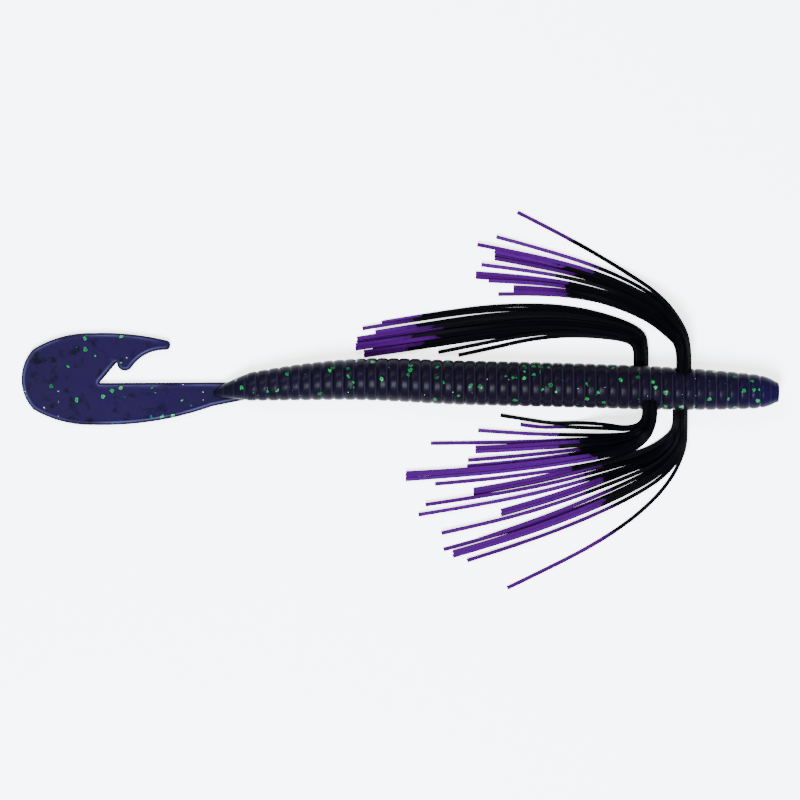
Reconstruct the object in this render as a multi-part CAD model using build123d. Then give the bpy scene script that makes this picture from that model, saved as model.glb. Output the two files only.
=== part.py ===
"""Soft plastic worm with a flat hooked paddle tail and a strand skirt.

Millimetres. +X points to the nose, +Z up, +Y to the worm's left. The worm lies
on z = 0, and the origin is under the middle of its own box, skirt left out.
The soft moulding is cut at its grooves into bodies that flex about Y. Each cut
is a half-round end on the rear piece that turns in a cup in the front piece.
"""
import math
import os

from build123d import *

# Ribbed body
RIB_PITCH = 2.37
RIB_DEPTH = 0.35
LAST_RIB_X = 80.4
NOSE_X = 82.5
NOSE_R = 2.73
NOSE_ROUND = 0.6

# Crest radius: widest at the waist and falling away by a power curve to each end.
# A reach is how far from the waist that curve would come to nothing.
WAIST_X = 30.0
WAIST_R = 4.88
NOSE_REACH = 71.5
TAIL_REACH = 83.5
TAPER_POWER = 3.5

# Grooves where the body flexes, as whole ribs back from the nose's last groove
FLEX_FRONT_X = LAST_RIB_X - 18 * RIB_PITCH
FLEX_MIDDLE_X = LAST_RIB_X - 28 * RIB_PITCH
FLEX_REAR_X = LAST_RIB_X - 38 * RIB_PITCH
RIBS_END_X = LAST_RIB_X - 48 * RIB_PITCH
AXIS_Z = 4.90
NOSE_CENTRE = Vector(NOSE_X, -2.90, AXIS_Z)
FLEX_FRONT = Vector(FLEX_FRONT_X, -1.40, AXIS_Z)
FLEX_MIDDLE = Vector(FLEX_MIDDLE_X, -0.85, AXIS_Z)
FLEX_REAR = Vector(FLEX_REAR_X, -0.12, 4.66)
RIBS_END = Vector(RIBS_END_X, -1.75, 3.35)

# Half-round ends that turn in cups, each a step smaller than its groove
TURN_STEP = 0.20
CUP_GAP = 0.25

# Smooth taper behind the last rib, lying over the root of the tail
TAPER_X = -40.4
TAPER_R = 1.20

# Flat tail
TAIL_THICK = 2.0
TAIL_ROOT_X = -34.0
WRIST_X = -41.9
FOLD_X = -62.6
STEM_TOP_Y = -0.85
TAIL_GAP = 0.15
SLIT_HALF = 0.10

# Skirt: two flat holes right through the body, tilted opposite ways
HOLE_WIDE = 4.5
HOLE_HIGH = 1.9
HOLE_TILT = 28.0
HOLE_RISE = 1.6
BODY_R_AT_HOLES = 4.7
FRONT_HOLE = Vector(61.1, -2.18, AXIS_Z + HOLE_RISE)
REAR_HOLE = Vector(53.1, -1.92, AXIS_Z + HOLE_RISE)
STRAND_R = 0.35
STRANDS_PER_HOLE = 10
COLUMN_STEP = 0.8
FIRST_COLUMN = 1.6
ROW_HALF = 0.5
CORE_PROUD = 0.9
HINGE_PROUD = 1.9
FIRST_RUN = 2.6
FLOOR_CLEAR = 0.01

# How far each point after the straight exit still stands above the floor, as a
# share of the exit's height: a high exit arches over, a low one drops at once.
HIGH_FALL = [1.11, 0.56, 0.0, 0.0, 0.0, 0.0]
LOW_FALL = [0.15, 0.0, 0.0, 0.0, 0.0, 0.0]

# Where each strand lies, seen from above: points after its straight exit.
# Rows run from the outermost strand of a tuft to the innermost.
ROUTES = {
    "front_left": [
        [(61.6, 11.0), (57.0, 18.0), (47.5, 24.5), (36.7, 30.8), (25.6, 36.4)],
        [(61.4, 10.8), (56.6, 17.4), (46.5, 23.2), (33.7, 27.6), (21.0, 31.0)],
        [(60.9, 10.6), (56.0, 16.9), (45.0, 22.6), (31.0, 26.6), (16.8, 29.3)],
        [(60.7, 10.4), (55.7, 16.4), (45.0, 21.7), (32.8, 25.4), (20.6, 27.8)],
        [(60.2, 10.2), (55.2, 16.0), (44.5, 21.0), (32.6, 24.2), (20.6, 26.3)],
        [(60.0, 10.0), (54.8, 15.6), (44.2, 20.3), (31.0, 23.3), (17.7, 24.9)],
        [(59.5, 9.8), (54.2, 15.1), (43.6, 19.6), (30.0, 22.2), (16.5, 23.1)],
        [(59.3, 9.6), (53.9, 14.7), (43.4, 18.9), (31.3, 21.0), (19.3, 21.4)],
        [(58.8, 9.4), (53.2, 14.2), (43.2, 18.1), (33.7, 19.7), (24.7, 20.0)],
        [(58.5, 9.2), (52.8, 13.8), (43.0, 17.4), (31.9, 18.7), (21.4, 18.5)],
    ],
    "rear_left": [
        [(53.1, 10.6), (46.4, 13.6), (36.0, 16.0), (22.8, 16.2), (9.3, 14.6), (-4.0, 12.3)],
        [(52.9, 10.4), (45.8, 13.1), (35.0, 15.3), (20.8, 15.2), (6.2, 13.4), (-8.2, 11.0)],
        [(52.2, 10.2), (45.4, 12.6), (34.5, 14.6), (21.3, 14.3), (7.9, 12.4), (-5.4, 10.2)],
        [(52.0, 10.0), (45.0, 12.2), (33.8, 13.9), (20.3, 13.4), (5.4, 11.3), (-9.4, 8.8)],
        [(51.4, 9.8), (44.7, 11.7), (34.8, 13.0), (24.2, 12.5), (13.1, 10.9), (2.1, 8.8)],
        [(51.1, 9.6), (44.4, 11.3), (33.2, 12.4), (19.6, 11.6), (4.9, 9.7), (-9.7, 7.4)],
        [(50.5, 9.4), (44.0, 10.9), (33.2, 11.7), (20.7, 10.9), (7.3, 8.9), (-6.0, 6.8)],
        [(50.3, 9.2), (43.7, 10.5), (33.0, 11.0), (20.0, 10.1), (6.0, 7.9), (-7.9, 5.9)],
        [(49.7, 8.8), (43.4, 9.9), (35.0, 10.3), (26.3, 9.4), (17.2, 7.6), (8.3, 5.8)],
        [(49.4, 8.5), (43.1, 9.3), (36.5, 9.5), (28.8, 8.8), (20.6, 6.9), (12.7, 5.2)],
    ],
    "front_right": [
        [(62.2, -15.6), (58.7, -22.8), (52.0, -29.6), (43.3, -35.6), (33.2, -40.9), (23.4, -45.6)],
        [(62.0, -15.3), (57.8, -21.3), (48.6, -26.8), (37.4, -31.8), (26.0, -36.0), (14.6, -39.6)],
        [(61.4, -15.0), (57.2, -20.6), (48.0, -25.7), (36.3, -30.6), (23.9, -35.0), (11.5, -38.6)],
        [(61.1, -14.8), (56.7, -19.9), (47.4, -24.7), (35.4, -29.5), (22.4, -33.7), (9.5, -37.2)],
        [(60.5, -14.6), (56.2, -19.3), (47.3, -23.6), (37.3, -27.8), (27.1, -31.7), (17.0, -35.1)],
        [(60.2, -14.4), (55.8, -18.7), (46.3, -22.7), (34.6, -27.0), (21.9, -30.8), (9.0, -33.6)],
        [(59.6, -14.1), (55.3, -18.1), (47.3, -21.2), (39.0, -24.4), (30.5, -27.2), (22.0, -29.6)],
        [(59.3, -13.9), (54.9, -17.5), (45.2, -20.6), (32.5, -24.3), (18.2, -27.3), (4.0, -29.6)],
        [(58.7, -13.6), (54.4, -16.9), (45.0, -19.6), (33.0, -22.8), (19.2, -25.4), (5.5, -27.4)],
        [(58.4, -13.3), (54.0, -16.2), (45.5, -18.6), (36.0, -21.0), (26.0, -23.3), (16.0, -25.0)],
    ],
    "rear_right": [
        [(53.3, -13.5), (48.0, -17.0), (39.0, -19.1), (28.5, -20.7), (18.0, -22.0), (7.6, -22.9)],
        [(53.0, -13.2), (47.5, -16.3), (38.0, -18.1), (26.5, -19.7), (13.8, -21.0), (1.2, -21.9)],
        [(52.5, -13.0), (47.1, -15.7), (37.5, -17.2), (26.0, -18.6), (13.6, -19.8), (1.3, -20.5)],
        [(52.2, -12.7), (46.9, -15.0), (38.5, -16.3), (30.5, -17.4), (22.5, -18.3), (14.6, -19.0)],
        [(51.7, -12.5), (46.6, -14.3), (38.5, -15.4), (30.5, -16.3), (22.6, -17.1), (14.8, -17.7)],
        [(51.4, -12.2), (46.3, -13.8), (38.5, -14.5), (31.0, -15.0), (23.6, -15.5), (16.4, -15.8)],
        [(50.9, -12.0), (45.8, -12.8), (38.6, -13.2), (27.0, -13.7), (16.8, -13.9), (6.7, -14.0)],
        [(50.5, -11.7), (45.5, -12.2), (39.4, -12.2), (31.6, -12.1), (24.0, -11.7), (17.0, -11.2)],
        [(49.6, -11.1), (44.9, -10.7), (39.8, -10.6), (35.2, -10.4), (30.6, -10.6), (26.2, -9.9)],
        [(49.2, -10.7), (44.4, -9.8), (39.0, -9.5), (33.2, -9.7), (27.5, -8.8), (21.9, -7.9)],
    ],
}


def body_radius(x):
    """Radius over the crests of the ribs at a station along the body."""
    reach = NOSE_REACH if x > WAIST_X else TAIL_REACH
    return WAIST_R * (1 - (abs(x - WAIST_X) / reach) ** TAPER_POWER)


def groove_radius(x):
    return body_radius(x) - RIB_DEPTH


def along_x(x0, x1, radius, centre):
    """A plain round bar along X through a centre point."""
    start = Plane(origin=(x0, centre.Y, centre.Z), z_dir=(1, 0, 0))
    return start * Cylinder(radius, x1 - x0, align=(Align.CENTER, Align.CENTER, Align.MIN))


def across_y(centre, radius):
    """A round bar along Y, long enough to pass the whole worm."""
    middle = Plane(origin=(centre.X, centre.Y, centre.Z), z_dir=(0, 1, 0))
    return middle * Cylinder(radius, 60)


def slab(x0, x1, y0, y1, z0, z1):
    corner = Pos(x0, y0, z0)
    return corner * Box(x1 - x0, y1 - y0, z1 - z0, align=(Align.MIN, Align.MIN, Align.MIN))


def on_axis(solid, start, end):
    """Tilt a solid made about X so that its axis runs from start to end."""
    way = (end - start).normalized()
    yaw = math.degrees(math.atan2(way.Y, way.X))
    pitch = -math.degrees(math.asin(way.Z))
    at_origin = Pos(-start.X, 0, 0) * solid
    return Pos(start.X, start.Y, start.Z) * Rot(0, 0, yaw) * Rot(0, pitch, 0) * at_origin


def ribbed_bar(x_first, ribs):
    """Ribs turned about X: one outward arc from each groove to the next."""
    x_last = x_first + ribs * RIB_PITCH
    edges = [Line((x_first, 0), (x_first, groove_radius(x_first)))]
    for number in range(ribs):
        x0 = x_first + number * RIB_PITCH
        x1 = x0 + RIB_PITCH
        crest = (x0 + x1) / 2
        edges.append(
            ThreePointArc((x0, groove_radius(x0)), (crest, body_radius(crest)), (x1, groove_radius(x1)))
        )
    edges.append(Line((x_last, groove_radius(x_last)), (x_last, 0)))
    edges.append(Line((x_last, 0), (x_first, 0)))
    return revolve(make_face(edges), Axis.X)


def nose_tip():
    """Plain tapering end with a flat face and a rounded lip, made about X."""
    start_r = groove_radius(LAST_RIB_X)
    edges = [
        Line((LAST_RIB_X - 0.2, 0), (LAST_RIB_X - 0.2, start_r)),
        Line((LAST_RIB_X - 0.2, start_r), (NOSE_X - NOSE_ROUND, NOSE_R)),
        TangentArc(
            (NOSE_X - NOSE_ROUND, NOSE_R), (NOSE_X, NOSE_R - NOSE_ROUND), tangent=(1, 0)
        ),
        Line((NOSE_X, NOSE_R - NOSE_ROUND), (NOSE_X, 0)),
        Line((NOSE_X, 0), (LAST_RIB_X - 0.2, 0)),
    ]
    return revolve(make_face(edges), Axis.X)


def tail_taper():
    """Smooth taper behind the last rib, made about X."""
    start_r = groove_radius(RIBS_END_X)
    edges = [
        Line((TAPER_X, 0), (TAPER_X, TAPER_R)),
        Line((TAPER_X, TAPER_R), (RIBS_END_X + 0.2, start_r)),
        Line((RIBS_END_X + 0.2, start_r), (RIBS_END_X + 0.2, 0)),
        Line((RIBS_END_X + 0.2, 0), (TAPER_X, 0)),
    ]
    return revolve(make_face(edges), Axis.X)


def turn_radius(centre):
    """Radius of a half-round end, a step smaller than the groove beside it."""
    return groove_radius(centre.X) - TURN_STEP


def turning_end(centre):
    """Half-round front end of a piece: round about Y, and round about X."""
    radius = turn_radius(centre)
    bar = along_x(centre.X - 0.6, centre.X + radius, radius, centre)
    room = across_y(centre, radius) + slab(centre.X - 1, centre.X, -20, 20, -5, 20)
    return bar & room


def cup(centre):
    """What is cut from the piece in front so that the half-round end can turn."""
    return across_y(centre, turn_radius(centre) + CUP_GAP)


def hole_frame(centre, front):
    """Plane across a skirt hole: x along the worm, y up, z towards the left."""
    tilt = math.radians(HOLE_TILT if front else -HOLE_TILT)
    left = Vector(0, math.cos(tilt), math.sin(tilt))
    return Plane(origin=centre, x_dir=(-1, 0, 0), z_dir=left)


def hole_reach(high):
    """Distance from a hole's middle to the body's surface, at its high or low end."""
    half = HOLE_RISE * math.sin(math.radians(HOLE_TILT))
    root = math.sqrt(half * half + BODY_R_AT_HOLES**2 - HOLE_RISE**2)
    return root - half if high else root + half


def make_front_body():
    """Nose half: the first ribs, the flat nose and both skirt holes."""
    ribs = ribbed_bar(FLEX_FRONT_X + RIB_PITCH, 17)
    body = on_axis(ribs + nose_tip(), FLEX_FRONT, NOSE_CENTRE)
    body -= cup(FLEX_FRONT)
    for centre, front in ((FRONT_HOLE, True), (REAR_HOLE, False)):
        slot = extrude(SlotOverall(HOLE_WIDE, HOLE_HIGH), 20, both=True)
        body -= hole_frame(centre, front) * slot
    return body


def make_mid_body(front, rear):
    """One middle piece: a half-round end at its front groove, a cup at its rear."""
    ribs = ribbed_bar(rear.X + RIB_PITCH, 9)
    body = on_axis(ribs, rear, front) + turning_end(front)
    return body - cup(rear)


def tail_outline():
    """Outline of the whole flat tail: root, stem, round end and hooked lobe."""
    return make_face([
        Line((TAIL_ROOT_X, -0.65), (-65.5, STEM_TOP_Y)),
        Line((-65.5, STEM_TOP_Y), (-61.7, 3.6)),
        ThreePointArc((-61.7, 3.6), (-60.3, 1.8), (-58.3, 2.8)),
        ThreePointArc((-58.3, 2.8), (-55.4, 5.3), (-51.1, 6.3)),
        ThreePointArc((-51.1, 6.3), (-50.0, 7.4), (-51.1, 8.5)),
        ThreePointArc((-51.1, 8.5), (-58.8, 9.8), (-66.8, 10.04)),
        ThreePointArc((-66.8, 10.04), (-74.2, 9.1), (-79.9, 6.55)),
        ThreePointArc((-79.9, 6.55), (-82.5, -0.05), (-79.9, -6.65)),
        ThreePointArc((-79.9, -6.65), (-74.2, -9.1), (-66.8, -10.04)),
        ThreePointArc((-66.8, -10.04), (-51.8, -8.9), (-41.0, -6.0)),
        Line((-41.0, -6.0), (TAIL_ROOT_X, -4.6)),
        Line((TAIL_ROOT_X, -4.6), (TAIL_ROOT_X, -0.65)),
    ])


def tail_blank():
    return extrude(tail_outline(), TAIL_THICK)


def tail_piece(x0, x1, y0, y1):
    return tail_blank() & slab(x0, x1, y0, y1, -1, TAIL_THICK + 1)


def tail_end(x, side, y0, y1):
    """Half-round edge of a flat piece, standing out from x towards side."""
    half = TAIL_THICK / 2
    edge = tail_piece(min(x, x + side * half), max(x, x + side * half), y0, y1)
    return edge & across_y(Vector(x, 0, half), half)


def make_rear_body():
    """Rear ribs, the smooth taper behind them and the root of the flat tail."""
    ribs = ribbed_bar(RIBS_END_X, 10) + tail_taper()
    body = on_axis(ribs, RIBS_END, FLEX_REAR) + turning_end(FLEX_REAR)
    body += tail_piece(WRIST_X, TAIL_ROOT_X, -20, 20)
    return body + tail_end(WRIST_X, -1, -20, 20)


def make_tail_stem():
    """Narrow band from the wrist to the round end of the tail."""
    flat_end = WRIST_X - TAIL_THICK / 2 - TAIL_GAP
    top = STEM_TOP_Y - SLIT_HALF
    stem = tail_piece(FOLD_X, flat_end, -20, 0)
    stem -= slab(FOLD_X - 5, FOLD_X, top, 20, -1, TAIL_THICK + 1)
    return stem + tail_end(FOLD_X, -1, -20, top)


def make_tail_paddle():
    """Round end of the tail, up to the hook's inner corner and slanted edge."""
    bottom = STEM_TOP_Y + SLIT_HALF
    flat_end = FOLD_X - TAIL_THICK / 2 - TAIL_GAP
    paddle = tail_piece(-90, flat_end, -20, 20) + tail_piece(flat_end - 0.5, FOLD_X, bottom, 20)
    return paddle + tail_end(FOLD_X, 1, bottom, 20)


def make_tail_lobe():
    """Hooked lobe that lies back beside the stem."""
    return tail_piece(FOLD_X + TAIL_THICK / 2 + TAIL_GAP, -45, 0, 20)


def strand_place(number):
    """A strand's place in its hole: sideways along the worm, and up."""
    sideways = FIRST_COLUMN - COLUMN_STEP * (number // 2)
    up = ROW_HALF if number % 2 else -ROW_HALF
    return sideways, up


def is_high(tuft):
    return tuft in ("front_left", "rear_right")


def strand_cores(centre, front):
    """The stretches of strand held inside one hole, ending just proud of it."""
    plane = hole_frame(centre, front)
    left_end = hole_reach(high=front) + CORE_PROUD
    right_end = hole_reach(high=not front) + CORE_PROUD
    rods = []
    for number in range(STRANDS_PER_HOLE):
        sideways, up = strand_place(number)
        rod = Cylinder(STRAND_R, left_end + right_end, align=(Align.CENTER, Align.CENTER, Align.MIN))
        rods.append(plane * Pos(-sideways, up, -right_end) * rod)
    return Compound(rods)


def strand_points(tuft, number):
    """Control points of one free strand end, from its exit to its tip."""
    front = tuft.startswith("front")
    side = 1 if tuft.endswith("left") else -1
    plane = hole_frame(FRONT_HOLE if front else REAR_HOLE, front)
    sideways, up = strand_place(number)
    reach = hole_reach(is_high(tuft)) + HINGE_PROUD
    start = plane.from_local_coords(Vector(-sideways, up, side * reach))
    second = plane.from_local_coords(Vector(-sideways, up, side * (reach + FIRST_RUN)))
    layer = number % 2
    floor = STRAND_R + FLOOR_CLEAR + layer * 2 * ROW_HALF
    fall = HIGH_FALL if is_high(tuft) else LOW_FALL
    points = [start, second]
    for (x, y), share in zip(ROUTES[tuft][number], fall):
        points.append(Vector(x, y, floor + share * (start.Z - floor)))
    return points


def bend_radii(points):
    """The largest arc that each corner's two runs have room for."""
    radii = []
    for before, corner, after in zip(points, points[1:], points[2:]):
        run_in = corner - before
        run_out = after - corner
        half_turn = math.radians(run_in.get_angle(run_out)) / 2
        radii.append(0.45 * min(run_in.length, run_out.length) / math.tan(half_turn))
    return radii


def strand_tube(points, radii):
    path = FilletPolyline(*points, radius=radii)
    section = Plane(origin=path @ 0, z_dir=path % 0) * Circle(STRAND_R)
    return sweep(section, path=path), path.length


def write(name, shape):
    shape.label = name
    export_step(shape, os.path.join("parts", name + ".step"))


def main():
    os.makedirs("parts", exist_ok=True)
    write("front_body", make_front_body())
    write("mid_body_front", make_mid_body(FLEX_FRONT, FLEX_MIDDLE))
    write("mid_body_rear", make_mid_body(FLEX_MIDDLE, FLEX_REAR))
    write("rear_body", make_rear_body())
    write("tail_stem", make_tail_stem())
    write("tail_paddle", make_tail_paddle())
    write("tail_lobe", make_tail_lobe())
    write("strand_cores_front", strand_cores(FRONT_HOLE, True))
    write("strand_cores_rear", strand_cores(REAR_HOLE, False))
    for tuft in ROUTES:
        for number in range(STRANDS_PER_HOLE):
            name = f"strand_{tuft}_{number + 1:02d}"
            points = strand_points(tuft, number)
            radii = bend_radii(points)
            tube, length = strand_tube(points, radii)
            share = tube.volume / (math.pi * STRAND_R**2 * length)
            print(name, f"{length:.1f} mm", f"volume/section*length {share:.4f}",
                  "radii", [round(radius, 1) for radius in radii])
            write(name, tube)


main()
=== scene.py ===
"""Soft plastic worm: ribbed body, skirt of loose strands, flat paddle tail with a hooked lobe."""
import math
import random

import bpy
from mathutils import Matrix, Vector, noise
from mathutils.geometry import delaunay_2d_cdt


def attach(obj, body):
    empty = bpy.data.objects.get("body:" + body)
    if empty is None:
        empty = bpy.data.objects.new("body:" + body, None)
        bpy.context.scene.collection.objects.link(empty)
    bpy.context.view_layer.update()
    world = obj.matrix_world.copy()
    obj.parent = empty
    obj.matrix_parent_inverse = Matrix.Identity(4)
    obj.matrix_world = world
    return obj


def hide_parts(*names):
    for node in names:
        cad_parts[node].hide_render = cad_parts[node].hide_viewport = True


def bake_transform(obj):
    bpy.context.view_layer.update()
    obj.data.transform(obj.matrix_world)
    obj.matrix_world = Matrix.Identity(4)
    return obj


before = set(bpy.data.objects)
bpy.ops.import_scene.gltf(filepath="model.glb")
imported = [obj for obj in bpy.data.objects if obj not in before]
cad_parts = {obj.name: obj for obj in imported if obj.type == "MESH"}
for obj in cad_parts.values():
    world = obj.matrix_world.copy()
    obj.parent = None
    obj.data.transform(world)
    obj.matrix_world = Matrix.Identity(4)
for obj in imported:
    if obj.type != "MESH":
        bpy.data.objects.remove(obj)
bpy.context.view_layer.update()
MM = 0.001
random.seed(7)

# Ribbed body
RIB_PITCH = 2.37
LAST_RIB_X = 80.4
RIB_DEPTH = 0.30
RIBS_END_X = LAST_RIB_X - 48 * RIB_PITCH
CUT_FRONT = LAST_RIB_X - 22.5 * RIB_PITCH
CUT_REAR = LAST_RIB_X - 33.5 * RIB_PITCH
FLEX_FRONT_X = LAST_RIB_X - 18 * RIB_PITCH
FLEX_MIDDLE_X = LAST_RIB_X - 28 * RIB_PITCH
FLEX_REAR_X = LAST_RIB_X - 38 * RIB_PITCH
ROUND = 96
RINGS_PER_RIB = 12
# Rounded lip and shallow dish of the nose face: how far ahead, and share of the radius
NOSE_ROWS = [
    (0.16, 0.985), (0.24, 0.94), (0.26, 0.88), (0.20, 0.80), (0.10, 0.70), (0.04, 0.5), (0.02, 0.25),
]

# Crest radius: widest at the waist and falling away by a power curve to each end
WAIST_X = 30.0
WAIST_R = 4.88
NOSE_REACH = 71.5
TAIL_REACH = 83.5
TAPER_POWER = 3.5
NOSE_ROUND_X, NOSE_END_X, NOSE_FALL = 75.5, 81.9, 1.3
TIP_X, TIP_POWER = -41.4, 0.4

# Middle of the body in mm: nose face, the three grooves where it flexes, last rib, tip
CENTRES = [
    (82.5, -2.90, 4.90), (FLEX_FRONT_X, -1.40, 4.90), (FLEX_MIDDLE_X, -0.85, 4.90),
    (FLEX_REAR_X, -0.12, 4.66), (RIBS_END_X, -1.75, 3.35), (TIP_X, -3.20, 1.20),
]

# Places where the strands leave the body: x, y, z, half length, half height, depth in mm
POCKETS = [
    (61.3, 2.3, 7.6, 2.2, 1.1, 0.7), (52.4, 2.9, 2.6, 2.2, 1.0, 0.7),
    (60.9, -6.3, 2.8, 2.2, 1.0, 0.7), (53.9, -5.2, 7.9, 2.2, 1.1, 0.7),
]

# Flat tail: straight runs have two points and arcs have three, in mm
TAIL_THICK = 2.0
TAIL_RUNS = [
    [(-34.0, -0.65), (-65.5, -0.85)],
    [(-65.5, -0.85), (-61.7, 3.6)],
    [(-61.7, 3.6), (-60.3, 1.8), (-58.3, 2.8)],
    [(-58.3, 2.8), (-55.4, 5.3), (-51.1, 6.3)],
    [(-51.1, 6.3), (-50.0, 7.4), (-51.1, 8.5)],
    [(-51.1, 8.5), (-58.8, 9.8), (-66.8, 10.04)],
    [(-66.8, 10.04), (-74.2, 9.1), (-79.9, 6.55)],
    [(-79.9, 6.55), (-82.5, -0.05), (-79.9, -6.65)],
    [(-79.9, -6.65), (-74.2, -9.1), (-66.8, -10.04)],
    [(-66.8, -10.04), (-51.8, -8.9), (-41.0, -6.0)],
    [(-41.0, -6.0), (-34.0, -4.6)],
    [(-34.0, -4.6), (-34.0, -0.65)],
]
RIM = 0.75
SLOPE_EDGE = ((-65.2, -0.5), (-61.8, 3.5))
ROOT_CUT_X = -53.0
FOLD_CUT_X = -70.0
FOLD_CUT_Y = -0.86


# Height of each point after the straight exit, as a share of the exit's height
HIGH_FALL = [1.11, 0.56, 0.0, 0.0, 0.0, 0.0]
LOW_FALL = [0.15, 0.0, 0.0, 0.0, 0.0, 0.0]

# Where each strand lies, seen from above in mm: points after its straight exit.
# Rows run from the outermost strand of a bundle to the innermost.
ROUTES = {
    "front_left": [
        [(61.6, 11.0), (57.0, 18.0), (47.5, 24.5), (36.7, 30.8), (25.6, 36.4)],
        [(61.4, 10.8), (56.6, 17.4), (46.5, 23.2), (33.7, 27.6), (21.0, 31.0)],
        [(60.9, 10.6), (56.0, 16.9), (45.0, 22.6), (31.0, 26.6), (16.8, 29.3)],
        [(60.7, 10.4), (55.7, 16.4), (45.0, 21.7), (32.8, 25.4), (20.6, 27.8)],
        [(60.2, 10.2), (55.2, 16.0), (44.5, 21.0), (32.6, 24.2), (20.6, 26.3)],
        [(60.0, 10.0), (54.8, 15.6), (44.2, 20.3), (31.0, 23.3), (17.7, 24.9)],
        [(59.5, 9.8), (54.2, 15.1), (43.6, 19.6), (30.0, 22.2), (16.5, 23.1)],
        [(59.3, 9.6), (53.9, 14.7), (43.4, 18.9), (31.3, 21.0), (19.3, 21.4)],
        [(58.8, 9.4), (53.2, 14.2), (43.2, 18.1), (33.7, 19.7), (24.7, 20.0)],
        [(58.5, 9.2), (52.8, 13.8), (43.0, 17.4), (31.9, 18.7), (21.4, 18.5)],
    ],
    "rear_left": [
        [(53.1, 10.6), (46.4, 13.6), (36.0, 16.0), (22.8, 16.2), (9.3, 14.6), (-4.0, 12.3)],
        [(52.9, 10.4), (45.8, 13.1), (35.0, 15.3), (20.8, 15.2), (6.2, 13.4), (-8.2, 11.0)],
        [(52.2, 10.2), (45.4, 12.6), (34.5, 14.6), (21.3, 14.3), (7.9, 12.4), (-5.4, 10.2)],
        [(52.0, 10.0), (45.0, 12.2), (33.8, 13.9), (20.3, 13.4), (5.4, 11.3), (-9.4, 8.8)],
        [(51.4, 9.8), (44.7, 11.7), (34.8, 13.0), (24.2, 12.5), (13.1, 10.9), (2.1, 8.8)],
        [(51.1, 9.6), (44.4, 11.3), (33.2, 12.4), (19.6, 11.6), (4.9, 9.7), (-9.7, 7.4)],
        [(50.5, 9.4), (44.0, 10.9), (33.2, 11.7), (20.7, 10.9), (7.3, 8.9), (-6.0, 6.8)],
        [(50.3, 9.2), (43.7, 10.5), (33.0, 11.0), (20.0, 10.1), (6.0, 7.9), (-7.9, 5.9)],
        [(49.7, 8.8), (43.4, 9.9), (35.0, 10.3), (26.3, 9.4), (17.2, 7.6), (8.3, 5.8)],
        [(49.4, 8.5), (43.1, 9.3), (36.5, 9.5), (28.8, 8.8), (20.6, 6.9), (12.7, 5.2)],
    ],
    "front_right": [
        [(62.2, -15.6), (58.7, -22.8), (52.0, -29.6), (43.3, -35.6), (33.2, -40.9), (23.4, -45.6)],
        [(62.0, -15.3), (57.8, -21.3), (48.6, -26.8), (37.4, -31.8), (26.0, -36.0), (14.6, -39.6)],
        [(61.4, -15.0), (57.2, -20.6), (48.0, -25.7), (36.3, -30.6), (23.9, -35.0), (11.5, -38.6)],
        [(61.1, -14.8), (56.7, -19.9), (47.4, -24.7), (35.4, -29.5), (22.4, -33.7), (9.5, -37.2)],
        [(60.5, -14.6), (56.2, -19.3), (47.3, -23.6), (37.3, -27.8), (27.1, -31.7), (17.0, -35.1)],
        [(60.2, -14.4), (55.8, -18.7), (46.3, -22.7), (34.6, -27.0), (21.9, -30.8), (9.0, -33.6)],
        [(59.6, -14.1), (55.3, -18.1), (47.3, -21.2), (39.0, -24.4), (30.5, -27.2), (22.0, -29.6)],
        [(59.3, -13.9), (54.9, -17.5), (45.2, -20.6), (32.5, -24.3), (18.2, -27.3), (4.0, -29.6)],
        [(58.7, -13.6), (54.4, -16.9), (45.0, -19.6), (33.0, -22.8), (19.2, -25.4), (5.5, -27.4)],
        [(58.4, -13.3), (54.0, -16.2), (45.5, -18.6), (36.0, -21.0), (26.0, -23.3), (16.0, -25.0)],
    ],
    "rear_right": [
        [(53.3, -13.5), (48.0, -17.0), (39.0, -19.1), (28.5, -20.7), (18.0, -22.0), (7.6, -22.9)],
        [(53.0, -13.2), (47.5, -16.3), (38.0, -18.1), (26.5, -19.7), (13.8, -21.0), (1.2, -21.9)],
        [(52.5, -13.0), (47.1, -15.7), (37.5, -17.2), (26.0, -18.6), (13.6, -19.8), (1.3, -20.5)],
        [(52.2, -12.7), (46.9, -15.0), (38.5, -16.3), (30.5, -17.4), (22.5, -18.3), (14.6, -19.0)],
        [(51.7, -12.5), (46.6, -14.3), (38.5, -15.4), (30.5, -16.3), (22.6, -17.1), (14.8, -17.7)],
        [(51.4, -12.2), (46.3, -13.8), (38.5, -14.5), (31.0, -15.0), (23.6, -15.5), (16.4, -15.8)],
        [(50.9, -12.0), (45.8, -12.8), (38.6, -13.2), (27.0, -13.7), (16.8, -13.9), (6.7, -14.0)],
        [(50.5, -11.7), (45.5, -12.2), (39.4, -12.2), (31.6, -12.1), (24.0, -11.7), (17.0, -11.2)],
        [(49.6, -11.1), (44.9, -10.7), (39.8, -10.6), (35.2, -10.4), (30.6, -10.6), (26.2, -9.9)],
        [(49.2, -10.7), (44.4, -9.8), (39.0, -9.5), (33.2, -9.7), (27.5, -8.8), (21.9, -7.9)],
    ],
}
# Strands that have a second one lying edge to edge beside them
TWINS = {"front_left": (3, 6, 8), "rear_left": (3, 5, 7), "front_right": (2, 6, 9), "rear_right": (1, 5)}
TWIN_GAP = 0.85
# Exit, bend line and bend direction of each bundle, and whether it leaves high
BUNDLES = {
    "front_left": dict(exit=(61.3, 1.9, 7.4), hinge=(61.1, 2.79, 9.14), way=(0.0, 1.0), high=True),
    "rear_left": dict(exit=(52.4, 2.6, 2.7), hinge=(53.1, 4.38, 3.15), way=(-0.5, 0.87), high=False),
    "front_right": dict(exit=(60.9, -6.0, 2.9), hinge=(61.1, -8.48, 3.15), way=(0.0, -1.0), high=False),
    "rear_right": dict(exit=(53.9, -4.9, 7.9), hinge=(53.1, -6.89, 9.14), way=(-0.5, -0.87), high=True),
}
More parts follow.
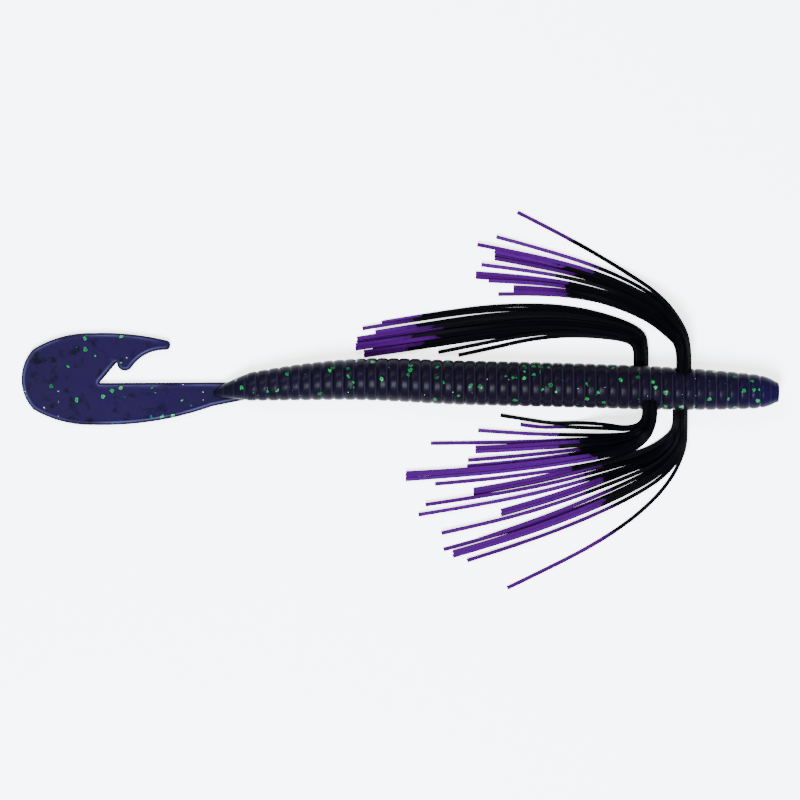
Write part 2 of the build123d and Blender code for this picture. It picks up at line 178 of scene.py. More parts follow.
# Strands that stay black to their free end
ALL_BLACK = {("rear_right", 9): 60, ("rear_left", 8): 40, ("rear_left", 9): 40}
EXIT_RUN = 4.4
STRAND_WIDE = 0.86
STRAND_THICK = 0.42


def mix(a, b, t):
    return a + (b - a) * t


def crest_radius(x):
    """Crest radius: two power curves from the waist, rounded off at the nose and the tip."""
    reach = NOSE_REACH if x > WAIST_X else TAIL_REACH
    radius = WAIST_R * (1 - (abs(x - WAIST_X) / reach) ** TAPER_POWER)
    if x > NOSE_ROUND_X:
        radius -= NOSE_FALL * ((x - NOSE_ROUND_X) / (NOSE_END_X - NOSE_ROUND_X)) ** 3
    if x < RIBS_END_X:
        radius *= max(0.0, (x - TIP_X) / (RIBS_END_X - TIP_X)) ** TIP_POWER
    return radius


def station(x):
    """Centre y, z and crest radius of the body at x, smooth between its centres."""
    last = len(CENTRES) - 1
    for i in range(last):
        p1, p2 = CENTRES[i], CENTRES[i + 1]
        if p2[0] <= x <= p1[0]:
            p0, p3 = CENTRES[max(i - 1, 0)], CENTRES[min(i + 2, last)]
            t = (x - p1[0]) / (p2[0] - p1[0])
            t2, t3 = t * t, t * t * t
            out = []
            for k in (1, 2):
                m1 = (p2[k] - p0[k]) / (p2[0] - p0[0]) * (p2[0] - p1[0])
                m2 = (p3[k] - p1[k]) / (p3[0] - p1[0]) * (p2[0] - p1[0])
                out.append((2 * t3 - 3 * t2 + 1) * p1[k] + (t3 - 2 * t2 + t) * m1
                           + (3 * t2 - 2 * t3) * p2[k] + (t3 - t2) * m2)
            return (*out, crest_radius(x))
    return (*CENTRES[last][1:], crest_radius(x))


def rib_drop(x):
    """How far the surface lies below the crest line: narrow grooves between round ribs."""
    first = LAST_RIB_X - RIB_PITCH
    if x > first:
        return RIB_DEPTH * math.exp(-(x - first) / 0.22)
    if x < RIBS_END_X:
        return RIB_DEPTH * 0.6
    u = ((LAST_RIB_X - x) / RIB_PITCH) % 1.0
    return RIB_DEPTH * abs(2 * u - 1) ** 3.8


def mesh_piece(name, points, faces, smooth=True):
    """A mesh from points in mm, with its rest position kept for the material."""
    mesh = bpy.data.meshes.new(name)
    mesh.from_pydata([(p[0] * MM, p[1] * MM, p[2] * MM) for p in points], [], faces)
    mesh.validate()
    mesh.polygons.foreach_set("use_smooth", [smooth] * len(mesh.polygons))
    rest = mesh.attributes.new("rest", "FLOAT_VECTOR", "POINT")
    flat = [c * 1.0 for p in points for c in p]
    rest.data.foreach_set("vector", flat)
    obj = bpy.data.objects.new(name, mesh)
    bpy.context.collection.objects.link(obj)
    return obj


def mark_sharp(obj, angle):
    """Sharp edges where two faces meet at more than the angle."""
    obj.data.set_sharp_from_angle(angle=math.radians(angle))


def pocket_drop(x, y, z):
    """Depth of the dimple where a bundle leaves the body, and the small raised lip round it."""
    drop = 0.0
    for px, py, pz, half_long, half_high, depth in POCKETS:
        q = math.sqrt(((x - px) / half_long) ** 2 + ((y - py) ** 2 + (z - pz) ** 2) / half_high ** 2)
        if q < 1.0:
            drop = max(drop, depth * (1 - q * q) ** 0.5)
        elif q < 1.35:
            drop = min(drop, -0.06 * math.sin(math.pi * (q - 1) / 0.35))
    return drop


def body_skin(name, x_front, x_rear, nose=False, tip=False):
    """One length of the ribbed body as a closed skin, its flat ends in grooves."""
    fine = RIB_PITCH / RINGS_PER_RIB
    count = max(2, round((x_front - x_rear) / fine))
    steps = [mix(x_front, x_rear, i / count) for i in range(count + 1)]
    points, faces = [], []
    for x in steps:
        cy, cz, radius = station(x)
        radius -= rib_drop(x)
        if nose and x > LAST_RIB_X:
            radius += 0.10 * math.exp(-((x - 81.7) / 0.25) ** 2)
        for j in range(ROUND):
            a = 2 * math.pi * j / ROUND
            uneven = 0.03 * noise.noise(Vector((x * 0.16, math.cos(a) * 1.3, math.sin(a) * 1.3)))
            r = radius + uneven
            y, z = cy + r * math.cos(a), cz + r * math.sin(a)
            r -= pocket_drop(x, y, z)
            points.append((x, cy + r * math.cos(a), max(0.02, cz + r * math.sin(a))))
    rings = len(steps)
    for i in range(rings - 1):
        for j in range(ROUND):
            k = (j + 1) % ROUND
            faces.append((i * ROUND + j, (i + 1) * ROUND + j, (i + 1) * ROUND + k, i * ROUND + k))
    cy, cz, _ = station(x_front)
    last = list(range(ROUND))
    for ahead, share in NOSE_ROWS if nose else []:
        row = []
        for j in range(ROUND):
            p = points[j]
            row.append(len(points))
            points.append((x_front + ahead, cy + (p[1] - cy) * share, cz + (p[2] - cz) * share))
        for j in range(ROUND):
            k = (j + 1) % ROUND
            faces.append((last[k], row[k], row[j], last[j]))
        last = row
    points.append((x_front + (0.02 if nose else 0.0), cy, cz))
    for j in range(ROUND):
        faces.append((last[(j + 1) % ROUND], len(points) - 1, last[j]))
    cy, cz, _ = station(x_rear)
    last = [(rings - 1) * ROUND + j for j in range(ROUND)]
    points.append((x_rear - (0.25 if tip else 0.0), cy, cz))
    for j in range(ROUND):
        faces.append((last[j], len(points) - 1, last[(j + 1) % ROUND]))
    obj = mesh_piece(name, points, faces)
    mark_sharp(obj, 60)
    return obj


def smooth_line(points, spacing, closed):
    """Points at even spacing along a smooth curve through the given ones."""
    n = len(points)
    spans = n if closed else n - 1
    fine = []
    for i in range(spans):
        p = [points[(i + k) % n] if closed else points[min(max(i + k, 0), n - 1)] for k in (-1, 0, 1, 2)]
        for s in range(12):
            t = s / 12
            fine.append(tuple(
                0.5 * (2 * p[1][c] + (p[2][c] - p[0][c]) * t
                       + (2 * p[0][c] - 5 * p[1][c] + 4 * p[2][c] - p[3][c]) * t * t
                       + (3 * p[1][c] - p[0][c] - 3 * p[2][c] + p[3][c]) * t ** 3)
                for c in range(len(p[0]))))
    fine.append(tuple(points[0] if closed else points[-1]))
    total = [0.0]
    for a, b in zip(fine, fine[1:]):
        total.append(total[-1] + math.dist(a, b))
    count = max(2, round(total[-1] / spacing))
    out, k = [], 0
    for s in range(count if closed else count + 1):
        d = total[-1] * s / count
        while k < len(total) - 2 and total[k + 1] < d:
            k += 1
        t = (d - total[k]) / max(total[k + 1] - total[k], 1e-9)
        out.append(tuple(mix(fine[k][c], fine[k + 1][c], t) for c in range(len(fine[0]))))
    return out


def to_segment(p, a, b):
    """Distance from p to the segment a-b, and how far along it."""
    ax, ay = b[0] - a[0], b[1] - a[1]
    t = ((p[0] - a[0]) * ax + (p[1] - a[1]) * ay) / (ax * ax + ay * ay)
    t = min(1.0, max(0.0, t))
    return math.hypot(p[0] - a[0] - ax * t, p[1] - a[1] - ay * t), t


def run_points(run, spacing=0.5):
    """Points along a straight run or an arc through three points, its end left out."""
    a, c = run[0], run[-1]
    if len(run) == 2:
        steps = max(1, round(math.dist(a, c) / spacing))
        return [tuple(mix(a[k], c[k], s / steps) for k in (0, 1)) for s in range(steps)]
    bx, by = run[1][0] - a[0], run[1][1] - a[1]
    cx, cy = c[0] - a[0], c[1] - a[1]
    turn = 2 * (bx * cy - by * cx)
    b2, c2 = bx * bx + by * by, cx * cx + cy * cy
    ox, oy = (cy * b2 - by * c2) / turn, (bx * c2 - cx * b2) / turn
    radius = math.hypot(ox, oy)
    start = math.atan2(-oy, -ox)
    sweep = (math.atan2(cy - oy, cx - ox) - start) % (2 * math.pi)
    if turn < 0:
        sweep -= 2 * math.pi
    steps = max(3, round(radius * abs(sweep) / spacing))
    angles = [start + sweep * s / steps for s in range(steps)]
    return [(a[0] + ox + radius * math.cos(t), a[1] + oy + radius * math.sin(t)) for t in angles]


def tail_plate():
    """Flat mesh of the whole tail: points, distance to the edge and triangles."""
    edge = smooth_line([p for run in TAIL_RUNS for p in run_points(run)], 0.33, True)
    n = len(edge)
    buckets = {}
    for i, (x, y) in enumerate(edge):
        for gx in range(int(x // 2) - 1, int(x // 2) + 2):
            for gy in range(int(y // 2) - 1, int(y // 2) + 2):
                buckets.setdefault((gx, gy), set()).add(i)

    def distance(p):
        near = buckets.get((int(p[0] // 2), int(p[1] // 2)))
        if not near:
            return 3.0
        return min(min(to_segment(p, edge[i], edge[(i + 1) % n])[0],
                       to_segment(p, edge[i - 1], edge[i])[0]) for i in near)

    def inside(p):
        odd = False
        for i in range(n):
            (x1, y1), (x2, y2) = edge[i], edge[(i + 1) % n]
            if (y1 > p[1]) != (y2 > p[1]) and p[0] < (x2 - x1) * (p[1] - y1) / (y2 - y1) + x1:
                odd = not odd
        return odd

    flat = [Vector(p) for p in edge]
    area = sum(edge[i][0] * edge[(i + 1) % n][1] - edge[(i + 1) % n][0] * edge[i][1] for i in range(n))
    turn = 1 if area > 0 else -1
    for inset in (0.03, 0.10, 0.21, 0.35, 0.52, 0.75, 1.0, 1.3):
        for i in range(n):
            ax, ay = edge[i - 1]
            bx, by = edge[(i + 1) % n]
            length = math.hypot(bx - ax, by - ay)
            p = (edge[i][0] - turn * (by - ay) / length * inset,
                 edge[i][1] + turn * (bx - ax) / length * inset)
            if distance(p) > inset * 0.97 and (inset < 1 or i % 2):
                flat.append(Vector(p))
    x = -82.5
    while x < -34:
        y = -10.0
        while y < 10:
            p = (x + 0.1 * noise.noise(Vector((x, y, 0))), y)
            if distance(p) > 1.7 and inside(p):
                flat.append(Vector(p))
            y += 0.6
        x += 0.6
    cuts = []
    for a, b in (((ROOT_CUT_X, -9.05), (ROOT_CUT_X, -0.69)), ((FOLD_CUT_X, FOLD_CUT_Y), (FOLD_CUT_X, 9.78)),
                 ((FOLD_CUT_X, FOLD_CUT_Y), (-65.3, FOLD_CUT_Y))):
        ends = []
        for p in (a, b):
            k = min(range(n), key=lambda i: math.dist(edge[i], p))
            if math.dist(edge[k], p) < 0.6:
                ends.append((k, edge[k]))
            else:
                ends.append((None, p))
        steps = max(2, round(math.dist(ends[0][1], ends[1][1]) / 0.2))
        row = []
        for s in range(steps + 1):
            t = s / steps
            p = tuple(mix(ends[0][1][c], ends[1][1][c], t) for c in (0, 1))
            if s in (0, steps) and ends[s // steps][0] is not None:
                row.append(ends[s // steps][0])
            else:
                row.append(len(flat))
                flat.append(Vector(p))
        cuts += list(zip(row, row[1:]))
    rim = [(i, (i + 1) % n) for i in range(n)]
    verts, _, tris, _, _, _ = delaunay_2d_cdt(flat, rim + cuts, [], 1, 1e-5)
    points = [(v.x, v.y) for v in verts]
    return points, [distance(p) for p in points], [tuple(t) for t in tris]


def rim_height(p, d):
    """Half thickness at distance d from the edge: rounded rim, broader along the slanted edge."""
    off, along = to_segment(p, *SLOPE_EDGE)
    rim = RIM
    low = 0.25
    if off < 1.6 and 0 < along < 1:
        rim = mix(1.5, RIM, min(1, off / 1.6))
        low = mix(0.18, 0.25, min(1, off / 1.6))
    u = min(1.0, d / rim)
    return low + (TAIL_THICK / 2 - low) * math.sqrt(max(0.0, 1 - (1 - u) ** 2))


def tail_skin(name, plate, belongs):
    """The part of the tail whose triangles' centres belong, closed all round."""
    points, dist, tris = plate
    own = [t for t in tris if belongs(sum(points[i][0] for i in t) / 3, sum(points[i][1] for i in t) / 3)]
    used = sorted({i for t in own for i in t})
    place = {v: k for k, v in enumerate(used)}
    verts, faces = [], []
    for side in (1, -1):
        for v in used:
            half = rim_height(points[v], dist[v])
            ripple = 0.05 * noise.noise(Vector((points[v][0] * 0.22, points[v][1] * 0.22, 3.0)))
            lift = ripple * min(1.0, dist[v] / 1.5) if side == 1 else 0.0
            bead = 0.06 * math.exp(-((dist[v] - 0.62) / 0.2) ** 2) if side == 1 else 0.0
            verts.append((points[v][0], points[v][1], TAIL_THICK / 2 + side * half + lift + bead))
    n = len(used)
    count = {}
    for t in own:
        a, b, c = (place[i] for i in t)
        faces.append((a, b, c))
        faces.append((c + n, b + n, a + n))
        for e in ((a, b), (b, c), (c, a)):
            count[e] = True
    for a, b in list(count):
        if (b, a) not in count:
            faces.append((b, a, a + n, b + n))
    obj = mesh_piece(name, verts, faces)
    obj.data.attributes.new("edge", "FLOAT", "POINT").data.foreach_set("value", [dist[v] for v in used] * 2)
    mark_sharp(obj, 75)
    return obj


def b_spline(control, per_mm=2.2):
    """Points along a quadratic B-spline that starts and ends on the first and last control points."""
    m = len(control)
    knots = [0, 0, 0] + list(range(1, m - 2)) + [m - 2] * 3
    rough = sum(math.dist(a, b) for a, b in zip(control, control[1:]))
    steps = max(24, int(rough * per_mm))
    out = []
    for s in range(steps + 1):
        t = min(s / steps * (m - 2), m - 2 - 1e-9)
        j = max(2, min(m - 1, 2 + int(t)))
        d = [Vector(control[i]) for i in range(j - 2, j + 1)]
        for r in (1, 2):
            for i in range(2, r - 1, -1):
                low, high = knots[j - 2 + i], knots[j + i + 1 - r]
                a = (t - low) / (high - low) if high > low else 0
                d[i] = d[i - 1] * (1 - a) + d[i] * a
        out.append(d[2])
    return smooth_line([tuple(p) for p in out], 0.45, False)


def strand_route(side, number, twin=False):
    """Control points of one strand, from inside its hole to its free end."""
    bundle = BUNDLES[side]
    out = 1 if bundle["way"][1] > 0 else -1
    ex, ey, ez = bundle["exit"]
    ex += 1.3 - 0.28 * number
    ez += (number % 4 - 1.5) * 0.5
    floor = 0.24 + 0.44 * (number % 3)
    fall = HIGH_FALL if bundle["high"] else LOW_FALL
    points = [(ex, ey - out * 1.6, ez), (ex, ey, ez), (ex, ey + out * EXIT_RUN, ez)]
    for (x, y), share in zip(ROUTES[side][number], fall):
        points.append((x, y - (out * TWIN_GAP if twin else 0), floor + share * (ez - floor)))
    return points


def ribbon(path, seed, wide=STRAND_WIDE, thick=STRAND_THICK):
    """Flat strand with rounded long edges and square-cut ends along a path."""
    spin = random.Random(seed)
    phase, turn = spin.uniform(0, 6.28), spin.uniform(-0.5, 0.5)
    lift = spin.uniform(-0.15, 0.15)
    section = [
        (-0.5, -0.22), (-0.42, -0.5), (0.42, -0.5), (0.5, -0.22),
        (0.5, 0.22), (0.42, 0.5), (-0.42, 0.5), (-0.5, 0.22),
    ]
    points, faces = [], []
    n = len(path)
    for i, p in enumerate(path):
        a = Vector(path[max(i - 1, 0)])
        b = Vector(path[min(i + 1, n - 1)])
        along = (b - a).normalized()
        flat = Vector((0, 0, 1)) - along * along.z
        up = flat.normalized() if flat.length > 0.05 else Vector((0, 1, 0))
        across = along.cross(up).normalized()
        s = i / (n - 1)
        angle = (turn * math.sin(3.1 * s + phase) + lift) * min(1, 4 * s)
        up2 = up * math.cos(angle) + across * math.sin(angle)
        across2 = across * math.cos(angle) - up * math.sin(angle)
        w = wide * (1 + 0.07 * noise.noise(Vector((s * 9, seed * 1.7, 0))))
        for u, v in section:
            q = Vector(p) + across2 * (u * w) + up2 * (v * thick)
            points.append((q.x, q.y, max(0.02, q.z)))
    k = len(section)
    for i in range(n - 1):
        for j in range(k):
            faces.append((i * k + j, i * k + (j + 1) % k, (i + 1) * k + (j + 1) % k, (i + 1) * k + j))
    faces.append(tuple(range(k - 1, -1, -1)))
    faces.append(tuple((n - 1) * k + j for j in range(k)))
    return points, faces


def strand_piece(name, side, number, seed):
    """One strand, or two that lie edge to edge, and the line that it follows."""
    chance = random.Random(seed + 500)
    points, faces, shift, tone = [], [], [], []
    main = b_spline(strand_route(side, number))
    lines = [main]
    if number in TWINS[side]:
        lines.append(b_spline(strand_route(side, number, twin=True)))
    for k, line in enumerate(lines):
        p, f = ribbon(line, seed + number + 40 * k)
        faces += [tuple(i + len(points) for i in face) for face in f]
        points += p
        shift += [chance.uniform(-5, 5) + ALL_BLACK.get((side, number), 0)] * len(p)
        tone += [chance.random() ** 2] * len(p)
    obj = mesh_piece(name, points, faces)
    for key, values in (("shift", shift), ("tone", tone)):
        obj.data.attributes.new(key, "FLOAT", "POINT").data.foreach_set("value", values)
    mark_sharp(obj, 50)
    return obj, main


def declare_strand(obj):
    """Bake the strand's placement into its mesh."""
    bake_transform(obj)


# Materials ---------------------------------------------------------------------------------
def srgb(r, g, b):
    """Linear colour from 8-bit sRGB numbers."""
    shares = (c / 255 for c in (r, g, b))
    return (*(c / 12.92 if c <= 10 / 255 else ((c + 0.055) / 1.055) ** 2.4 for c in shares), 1.0)


class Nodes:
    """Short calls for building a node tree."""

    def __init__(self, name):
        self.material = bpy.data.materials.new(name)
        self.material.use_nodes = True
        self.tree = self.material.node_tree
        self.shader = self.tree.nodes["Principled BSDF"]

    def add(self, kind, inputs=None, **settings):
        node = self.tree.nodes.new(kind)
        for key, value in settings.items():
            setattr(node, key, value)
        for key, value in (inputs or {}).items():
            if isinstance(value, bpy.types.NodeSocket):
                self.tree.links.new(value, node.inputs[key])
            else:
                node.inputs[key].default_value = value
        return node

    def math(self, operation, a, b=0.0, c=0.0):
        return self.add("ShaderNodeMath", {0: a, 1: b, 2: c}, operation=operation).outputs[0]

    def blend(self, factor, a, b):
        node = self.add("ShaderNodeMix", data_type="RGBA")
        for key, value in (("Factor", factor), ("A", a), ("B", b)):
            socket = [s for s in node.inputs if s.name == key and s.enabled][0]
            if isinstance(value, bpy.types.NodeSocket):
                self.tree.links.new(value, socket)
            else:
                socket.default_value = value
        return [s for s in node.outputs if s.enabled][0]

    def ramp(self, value, stops):
        node = self.add("ShaderNodeValToRGB", {0: value})
        ramp = node.color_ramp
        while len(ramp.elements) < len(stops):
            ramp.elements.new(0.5)
        for element, (at, colour) in zip(ramp.elements, stops):
            element.position = at
            element.color = colour
        return node.outputs[0]

    def set(self, key, value):
        socket = self.shader.inputs[key]
        if isinstance(value, bpy.types.NodeSocket):
            self.tree.links.new(value, socket)
        else:
            socket.default_value = value


def flake_layer(n, rest, base, cell, size, share, inner, colour, seed):
    """Scatter of small bright chips in the plastic, each with a dark smudge behind it."""
    away = (seed * 7.3, seed * 3.1, seed * 5.7)
    moved = n.add("ShaderNodeVectorMath", {0: rest, 1: away}, operation="ADD").outputs[0]
    ragged = n.add("ShaderNodeTexNoise", {"Vector": moved, "Scale": 1.3, "Detail": 1.0}).outputs["Color"]
    pushed = n.add("ShaderNodeVectorMath", {0: ragged, 1: (0.9, 0.9, 0.9), 2: moved},
                   operation="MULTIPLY_ADD").outputs[0]
    cells = n.add("ShaderNodeTexVoronoi", {"Vector": pushed, "Scale": 1.0 / cell, "Randomness": 0.9},
                  voronoi_dimensions="3D", feature="F1")
    parts = n.add("ShaderNodeSeparateColor", {0: cells.outputs["Color"]})
    reach = n.math("MULTIPLY", cells.outputs["Distance"], cell)
    chosen = n.math("LESS_THAN", parts.outputs[0], share)
    smudge = n.math("MULTIPLY", n.math("SUBTRACT", 1.0, n.math("MULTIPLY", reach, 0.55 / size)), chosen)
    base = n.blend(n.math("MULTIPLY", n.math("MAXIMUM", smudge, 0.0), 0.6), base, srgb(3, 4, 5))
    mask = n.math("MULTIPLY", n.math("LESS_THAN", reach, size), chosen)
    if inner > 0:
        ring = n.math("GREATER_THAN", reach, inner)
        mask = n.math("MULTIPLY", mask, n.math("MULTIPLY_ADD", ring, 0.6, 0.4))
    varied = n.math("MULTIPLY_ADD", parts.outputs[1], 0.75, 0.25)
    mask = n.math("MULTIPLY", mask, varied)
    return n.blend(mask, base, colour), mask


def bump_at(n, value, centre, half):
    """1 where the value is at the centre, falling to 0 at half a width either side."""
    off = n.math("DIVIDE", n.math("ABSOLUTE", n.math("SUBTRACT", value, centre)), half)
    return n.math("MAXIMUM", n.math("SUBTRACT", 1.0, off), 0.0)


def plastic(name, stops, span, flakes, rough, blotch, ribbed):
    """Glossy soft plastic with flakes; its hue changes along the worm. Painted highlight and shade lines run
    beside the rib grooves on the body and along the rim on the tail.
    """
    n = Nodes(name)
    rest = n.add("ShaderNodeAttribute", attribute_name="rest").outputs["Vector"]
    split = n.add("ShaderNodeSeparateXYZ", {0: rest})
    along = n.math("MULTIPLY_ADD", split.outputs[0], 1 / (span[1] - span[0]), -span[0] / (span[1] - span[0]))
    colour = n.ramp(along, stops)
    cloud = n.add("ShaderNodeTexNoise",
                  {"Vector": rest, "Scale": 0.35, "Detail": 4.0, "Roughness": 0.6}).outputs[0]
    patch = n.add("ShaderNodeMapRange", {0: cloud, 1: 0.54, 2: 0.66}).outputs[0]
    colour = n.blend(n.math("MULTIPLY", patch, blotch), colour, srgb(5, 4, 8))
    soft = n.add("ShaderNodeTexNoise", {"Vector": rest, "Scale": 0.12, "Detail": 3.0}).outputs[0]
    colour = n.blend(n.math("MULTIPLY", soft, 0.35), colour, srgb(5, 5, 9))
    if ribbed:
        ribs = n.math("MULTIPLY_ADD", split.outputs[0], -1 / RIB_PITCH, LAST_RIB_X / RIB_PITCH)
        phase = n.math("FRACT", ribs)
        # Painted highlight: a thin pale line on the rib flank beside each groove, standing in for light
        # caught by the groove edge.
        painted_groove_highlight = n.math("MULTIPLY", bump_at(n, phase, 0.14, 0.09), n.math("MULTIPLY_ADD", soft, 0.5, -0.04))
        colour = n.blend(painted_groove_highlight, colour, srgb(46, 40, 62))
        # Painted shade: a thin dark line at the bottom of each rib groove, where shade falls in the crease.
        colour = n.blend(n.math("MULTIPLY", bump_at(n, phase, 0.98, 0.10), 0.6), colour, srgb(3, 3, 6))
    else:
        # Painted highlight: a pale, patchy line about 0.6 mm inside the tail's edge, standing in for light
        # caught by the rounded rim.
        edge = n.add("ShaderNodeAttribute", attribute_name="edge").outputs["Fac"]
        patchy = n.add("ShaderNodeTexNoise", {"Vector": rest, "Scale": 0.11, "Detail": 1.0}).outputs[0]
        strength = n.add("ShaderNodeMapRange", {0: patchy, 1: 0.35, 2: 0.65}).outputs[0]
        line = n.math("MULTIPLY", bump_at(n, edge, 0.62, 0.30), strength)
        colour = n.blend(n.math("MULTIPLY", line, 0.5), colour, srgb(58, 60, 92))
        # Painted shade: darker along the outermost edge of the tail's rounded rim.
        colour = n.blend(n.math("MULTIPLY", bump_at(n, edge, 0.0, 0.4), 0.7), colour, srgb(6, 4, 14))
    glow = 0.0
    for k, (cell, size, share, inner, hue) in enumerate(flakes):
        colour, mask = flake_layer(n, rest, colour, cell, size, share, inner, hue, k + 1)
        glow = n.math("ADD", glow, mask)
    n.set("Base Color", colour)
    n.set("Metallic", n.math("MULTIPLY", glow, 0.35))
    n.set("Roughness", n.math("MULTIPLY_ADD", soft, 0.16, rough))
    n.set("IOR", 1.08)
    fine = n.add("ShaderNodeTexNoise",
                 {"Vector": rest, "Scale": 1.6, "Detail": 5.0, "Roughness": 0.6}).outputs[0]
    bump = n.add("ShaderNodeBump", {"Height": fine, "Strength": 0.18, "Distance": 0.00015})
    n.set("Normal", bump.outputs[0])
    return n.material


def strand_plastic(name, switch_x, width):
    """Strand material: black near the body, turning violet towards the free ends."""
    n = Nodes(name)
    rest = n.add("ShaderNodeAttribute", attribute_name="rest").outputs["Vector"]
    split = n.add("ShaderNodeSeparateXYZ", {0: rest})
    waver = n.add("ShaderNodeTexNoise", {"Vector": rest, "Scale": 0.5, "Detail": 2.0}).outputs[0]
    own = n.add("ShaderNodeAttribute", attribute_name="shift").outputs["Fac"]
    tone = n.add("ShaderNodeAttribute", attribute_name="tone").outputs["Fac"]
    shifted = n.math("ADD", n.math("MULTIPLY_ADD", waver, 6.0, split.outputs[0]), own)
    part = n.math("MULTIPLY_ADD", shifted, -1 / width, (switch_x + 3.0 + width / 2) / width)
    colour = n.ramp(part, [
        (0.0, srgb(2, 2, 3)), (0.45, srgb(3, 2, 6)), (0.6, srgb(24, 0, 34)), (1.0, srgb(36, 0, 52)),
    ])
    streak = n.add("ShaderNodeTexNoise",
                   {"Vector": rest, "Scale": 1.4, "Detail": 4.0, "Roughness": 0.7}).outputs[0]
    light = n.math("MULTIPLY", streak, n.math("MULTIPLY_ADD", tone, 0.45, 0.1))
    colour = n.blend(light, colour, srgb(66, 16, 100))
    speck = n.add("ShaderNodeTexVoronoi", {"Vector": rest, "Scale": 0.45, "Randomness": 1.0})
    dark = n.math("LESS_THAN", speck.outputs["Distance"], 0.13)
    colour = n.blend(n.math("MULTIPLY", dark, 0.8), colour, srgb(14, 12, 50))
    black = n.blend(n.math("MULTIPLY", streak, 0.15), srgb(1, 1, 2), srgb(5, 5, 7))
    colour = n.blend(n.math("LESS_THAN", part, 0.5), colour, black)
    n.set("Base Color", colour)
    n.set("Roughness", n.math("MULTIPLY_ADD", streak, 0.25, 0.34))
    n.set("IOR", 1.05)
    bump = n.add("ShaderNodeBump", {"Height": streak, "Strength": 0.25, "Distance": 0.0001})
    n.set("Normal", bump.outputs[0])
    return n.material


GREEN, TEAL, RED = srgb(8, 112, 50), srgb(10, 64, 70), srgb(104, 10, 20)
WHITE, BLUE = srgb(160, 165, 180), srgb(22, 30, 90)
FLAKES = [
    (1.9, 0.46, 0.32, 0.28, GREEN), (2.3, 0.42, 0.26, 0.0, GREEN), (2.9, 0.34, 0.10, 0.0, TEAL),
    (3.1, 0.24, 0.08, 0.0, RED), (1.5, 0.12, 0.22, 0.0, WHITE), (3.3, 0.20, 0.08, 0.0, BLUE),
]
BODY_STOPS = [
    (0.0, srgb(10, 7, 19)), (0.2, srgb(9, 6, 17)), (0.45, srgb(8, 5, 13)),
    (0.8, srgb(8, 5, 14)), (0.93, srgb(10, 6, 24)), (1.0, srgb(12, 6, 36)),
]
TAIL_STOPS = [
    (0.0, srgb(17, 10, 36)), (0.45, srgb(17, 9, 37)), (0.62, srgb(16, 7, 38)), (1.0, srgb(13, 7, 27)),
]
soft_body = plastic("soft_body_plastic", BODY_STOPS, (-41.0, 82.5), FLAKES, 0.22, 0.0, True)
TAIL_FLAKES = [(cell, size, share * 0.6, inner, hue) for cell, size, share, inner, hue in FLAKES]
soft_tail = plastic("soft_tail_plastic", TAIL_STOPS, (-83.0, -34.0), TAIL_FLAKES, 0.24, 0.85, False)
strand_looks = {
    "front_left": strand_plastic("strand_front_left", 39.0, 9.0),
    "rear_left": strand_plastic("strand_rear_left", 7.0, 9.0),
    "front_right": strand_plastic("strand_front_right", 43.0, 10.0),
    "rear_right": strand_plastic("strand_rear_right", 39.0, 10.0),
}
strand_black = strand_plastic("strand_core_black", -90.0, 6.0)


def finish_piece(obj, material):
    obj.data.materials.clear()
    obj.data.materials.append(material)


# Camera ------------------------------------------------------------------------------------
camera_data = bpy.data.cameras.new("camera")
camera_data.lens = 144.33
camera_data.sensor_width = 36
camera_data.clip_start = 0.01
camera = bpy.data.objects.new("camera", camera_data)
camera.location = (0, -0.00458, 0.7)
bpy.context.collection.objects.link(camera)
bpy.context.scene.camera = camera

# Strands -----------------------------------------------------------------------------------
for side in ROUTES:
    for number in range(len(ROUTES[side])):
        node = "strand_%s_%02d" % (side, number + 1)
        obj, main = strand_piece(node + "_loose", side, number, 11 * number + len(side))
        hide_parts(node)
        finish_piece(obj, strand_looks[side])
        declare_strand(obj)

# Body --------------------------------------------------------------------------------------
front = body_skin("skin_front", 81.75, CUT_FRONT, nose=True)
middle = body_skin("skin_middle", CUT_FRONT, CUT_REAR)
rear = body_skin("skin_rear", CUT_REAR, -41.0, tip=True)
for obj, nodes, a, b, x in (
    (front, ["front_body"], "front_body", "mid_body_front", FLEX_FRONT_X),
    (middle, ["mid_body_front", "mid_body_rear"], "mid_body_front", "mid_body_rear", FLEX_MIDDLE_X),
    (rear, ["rear_body"], "mid_body_rear", "rear_body", FLEX_REAR_X),
):
    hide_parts(*nodes)
    finish_piece(obj, soft_body)
    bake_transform(obj)

# Tail --------------------------------------------------------------------------------------
plate = tail_plate()


def in_lobe(x, y):
    return y > FOLD_CUT_Y and x > FOLD_CUT_X and not (y < -0.3 and x > -64.9) and x < -48.5


def in_root(x, y):
    return x > ROOT_CUT_X and not in_lobe(x, y)


def in_fold(x, y):
    return not in_root(x, y) and not in_lobe(x, y)


tail_parts = [
    ("tail_root_skin", in_root, "tail_stem", "rear_body", "tail_stem", -40.5, -45.0),
    ("tail_fold_skin", in_fold, "tail_paddle", "tail_stem", "tail_paddle", -59.8, -65.4),
    ("tail_lobe_skin", in_lobe, "tail_lobe", "tail_paddle", "tail_lobe", -65.4, -59.8),
]
for name, belongs, node, a, b, x0, x1 in tail_parts:
    obj = tail_skin(name, plate, belongs)
    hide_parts(node)
    finish_piece(obj, soft_tail)
    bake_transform(obj)

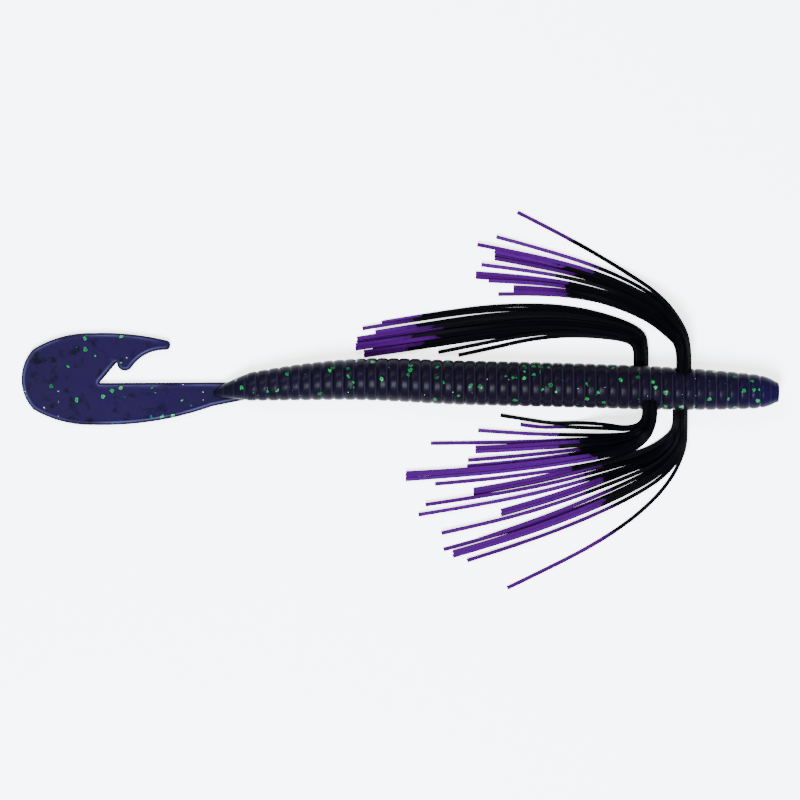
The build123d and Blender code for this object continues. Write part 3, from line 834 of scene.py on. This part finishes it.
for name, left, right in (("front", "front_left", "front_right"), ("rear", "rear_left", "rear_right")):
    points, faces = [], []
    (x1, y1, z1), (x2, y2, z2) = BUNDLES[left]["exit"], BUNDLES[right]["exit"]
    for place in range(10):
        dx, dz = 1.2 - 0.6 * (place // 2), 0.7 * (place % 2) - 0.35
        line = [(mix(x1, x2, t) + dx, mix(y1 - 0.3, y2 + 0.3, t), mix(z1, z2, t) + dz)
                for t in (0.0, 0.25, 0.5, 0.75, 1.0)]
        p, f = ribbon(line, 200 + place, 0.6, 0.4)
        faces += [tuple(i + len(points) for i in face) for face in f]
        points += p
    core = mesh_piece("strands_inside_" + name, points, faces)
    mark_sharp(core, 50)
    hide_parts("strand_cores_" + name)
    finish_piece(core, strand_black)
    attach(core, "front_body")

# Floor and light ---------------------------------------------------------------------------
floor_look = Nodes("floor_white")
floor_look.set("Base Color", (0.9, 0.9, 0.9, 1.0))
floor_look.set("Roughness", 0.9)
floor_look.set("Emission Color", (1.0, 1.0, 1.0, 1.0))
floor_look.set("Emission Strength", 2.4)
floor_mesh = bpy.data.meshes.new("floor")
floor_mesh.from_pydata([(-2, -2, 0), (2, -2, 0), (2, 2, 0), (-2, 2, 0)], [], [(0, 1, 2, 3)])
floor_mesh.materials.append(floor_look.material)
floor = bpy.data.objects.new("floor", floor_mesh)
bpy.context.collection.objects.link(floor)


def area_light(name, place, size, power, target=(0, -0.004, 0.003), colour=(1, 1, 1)):
    data = bpy.data.lights.new(name, "AREA")
    data.shape = "RECTANGLE"
    data.size, data.size_y = size
    data.energy = power
    data.color = colour
    light = bpy.data.objects.new(name, data)
    light.location = place
    light.rotation_euler = (Vector(target) - Vector(place)).to_track_quat("-Z", "Y").to_euler()
    bpy.context.collection.objects.link(light)
    return light


area_light("groove_light", (-0.05, -0.30, 0.62), (0.16, 0.30), 26.0, colour=(0.82, 0.88, 1.0))
area_light("rim_light", (-0.2, 0.33, 0.62), (0.5, 0.06), 7.0, colour=(0.9, 0.94, 1.0))
area_light("fill_back", (0.0, 0.75, 0.55), (1.2, 0.4), 3.0)
area_light("fill_front", (0.1, -0.85, 0.5), (1.2, 0.4), 3.0)
area_light("fill_end", (0.9, 0.0, 0.5), (0.4, 0.8), 2.0)
world = bpy.data.worlds.new("world")
world.use_nodes = True
world.node_tree.nodes["Background"].inputs[0].default_value = (1.0, 1.0, 1.0, 1.0)
world.node_tree.nodes["Background"].inputs[1].default_value = 0.05
bpy.context.scene.world = world
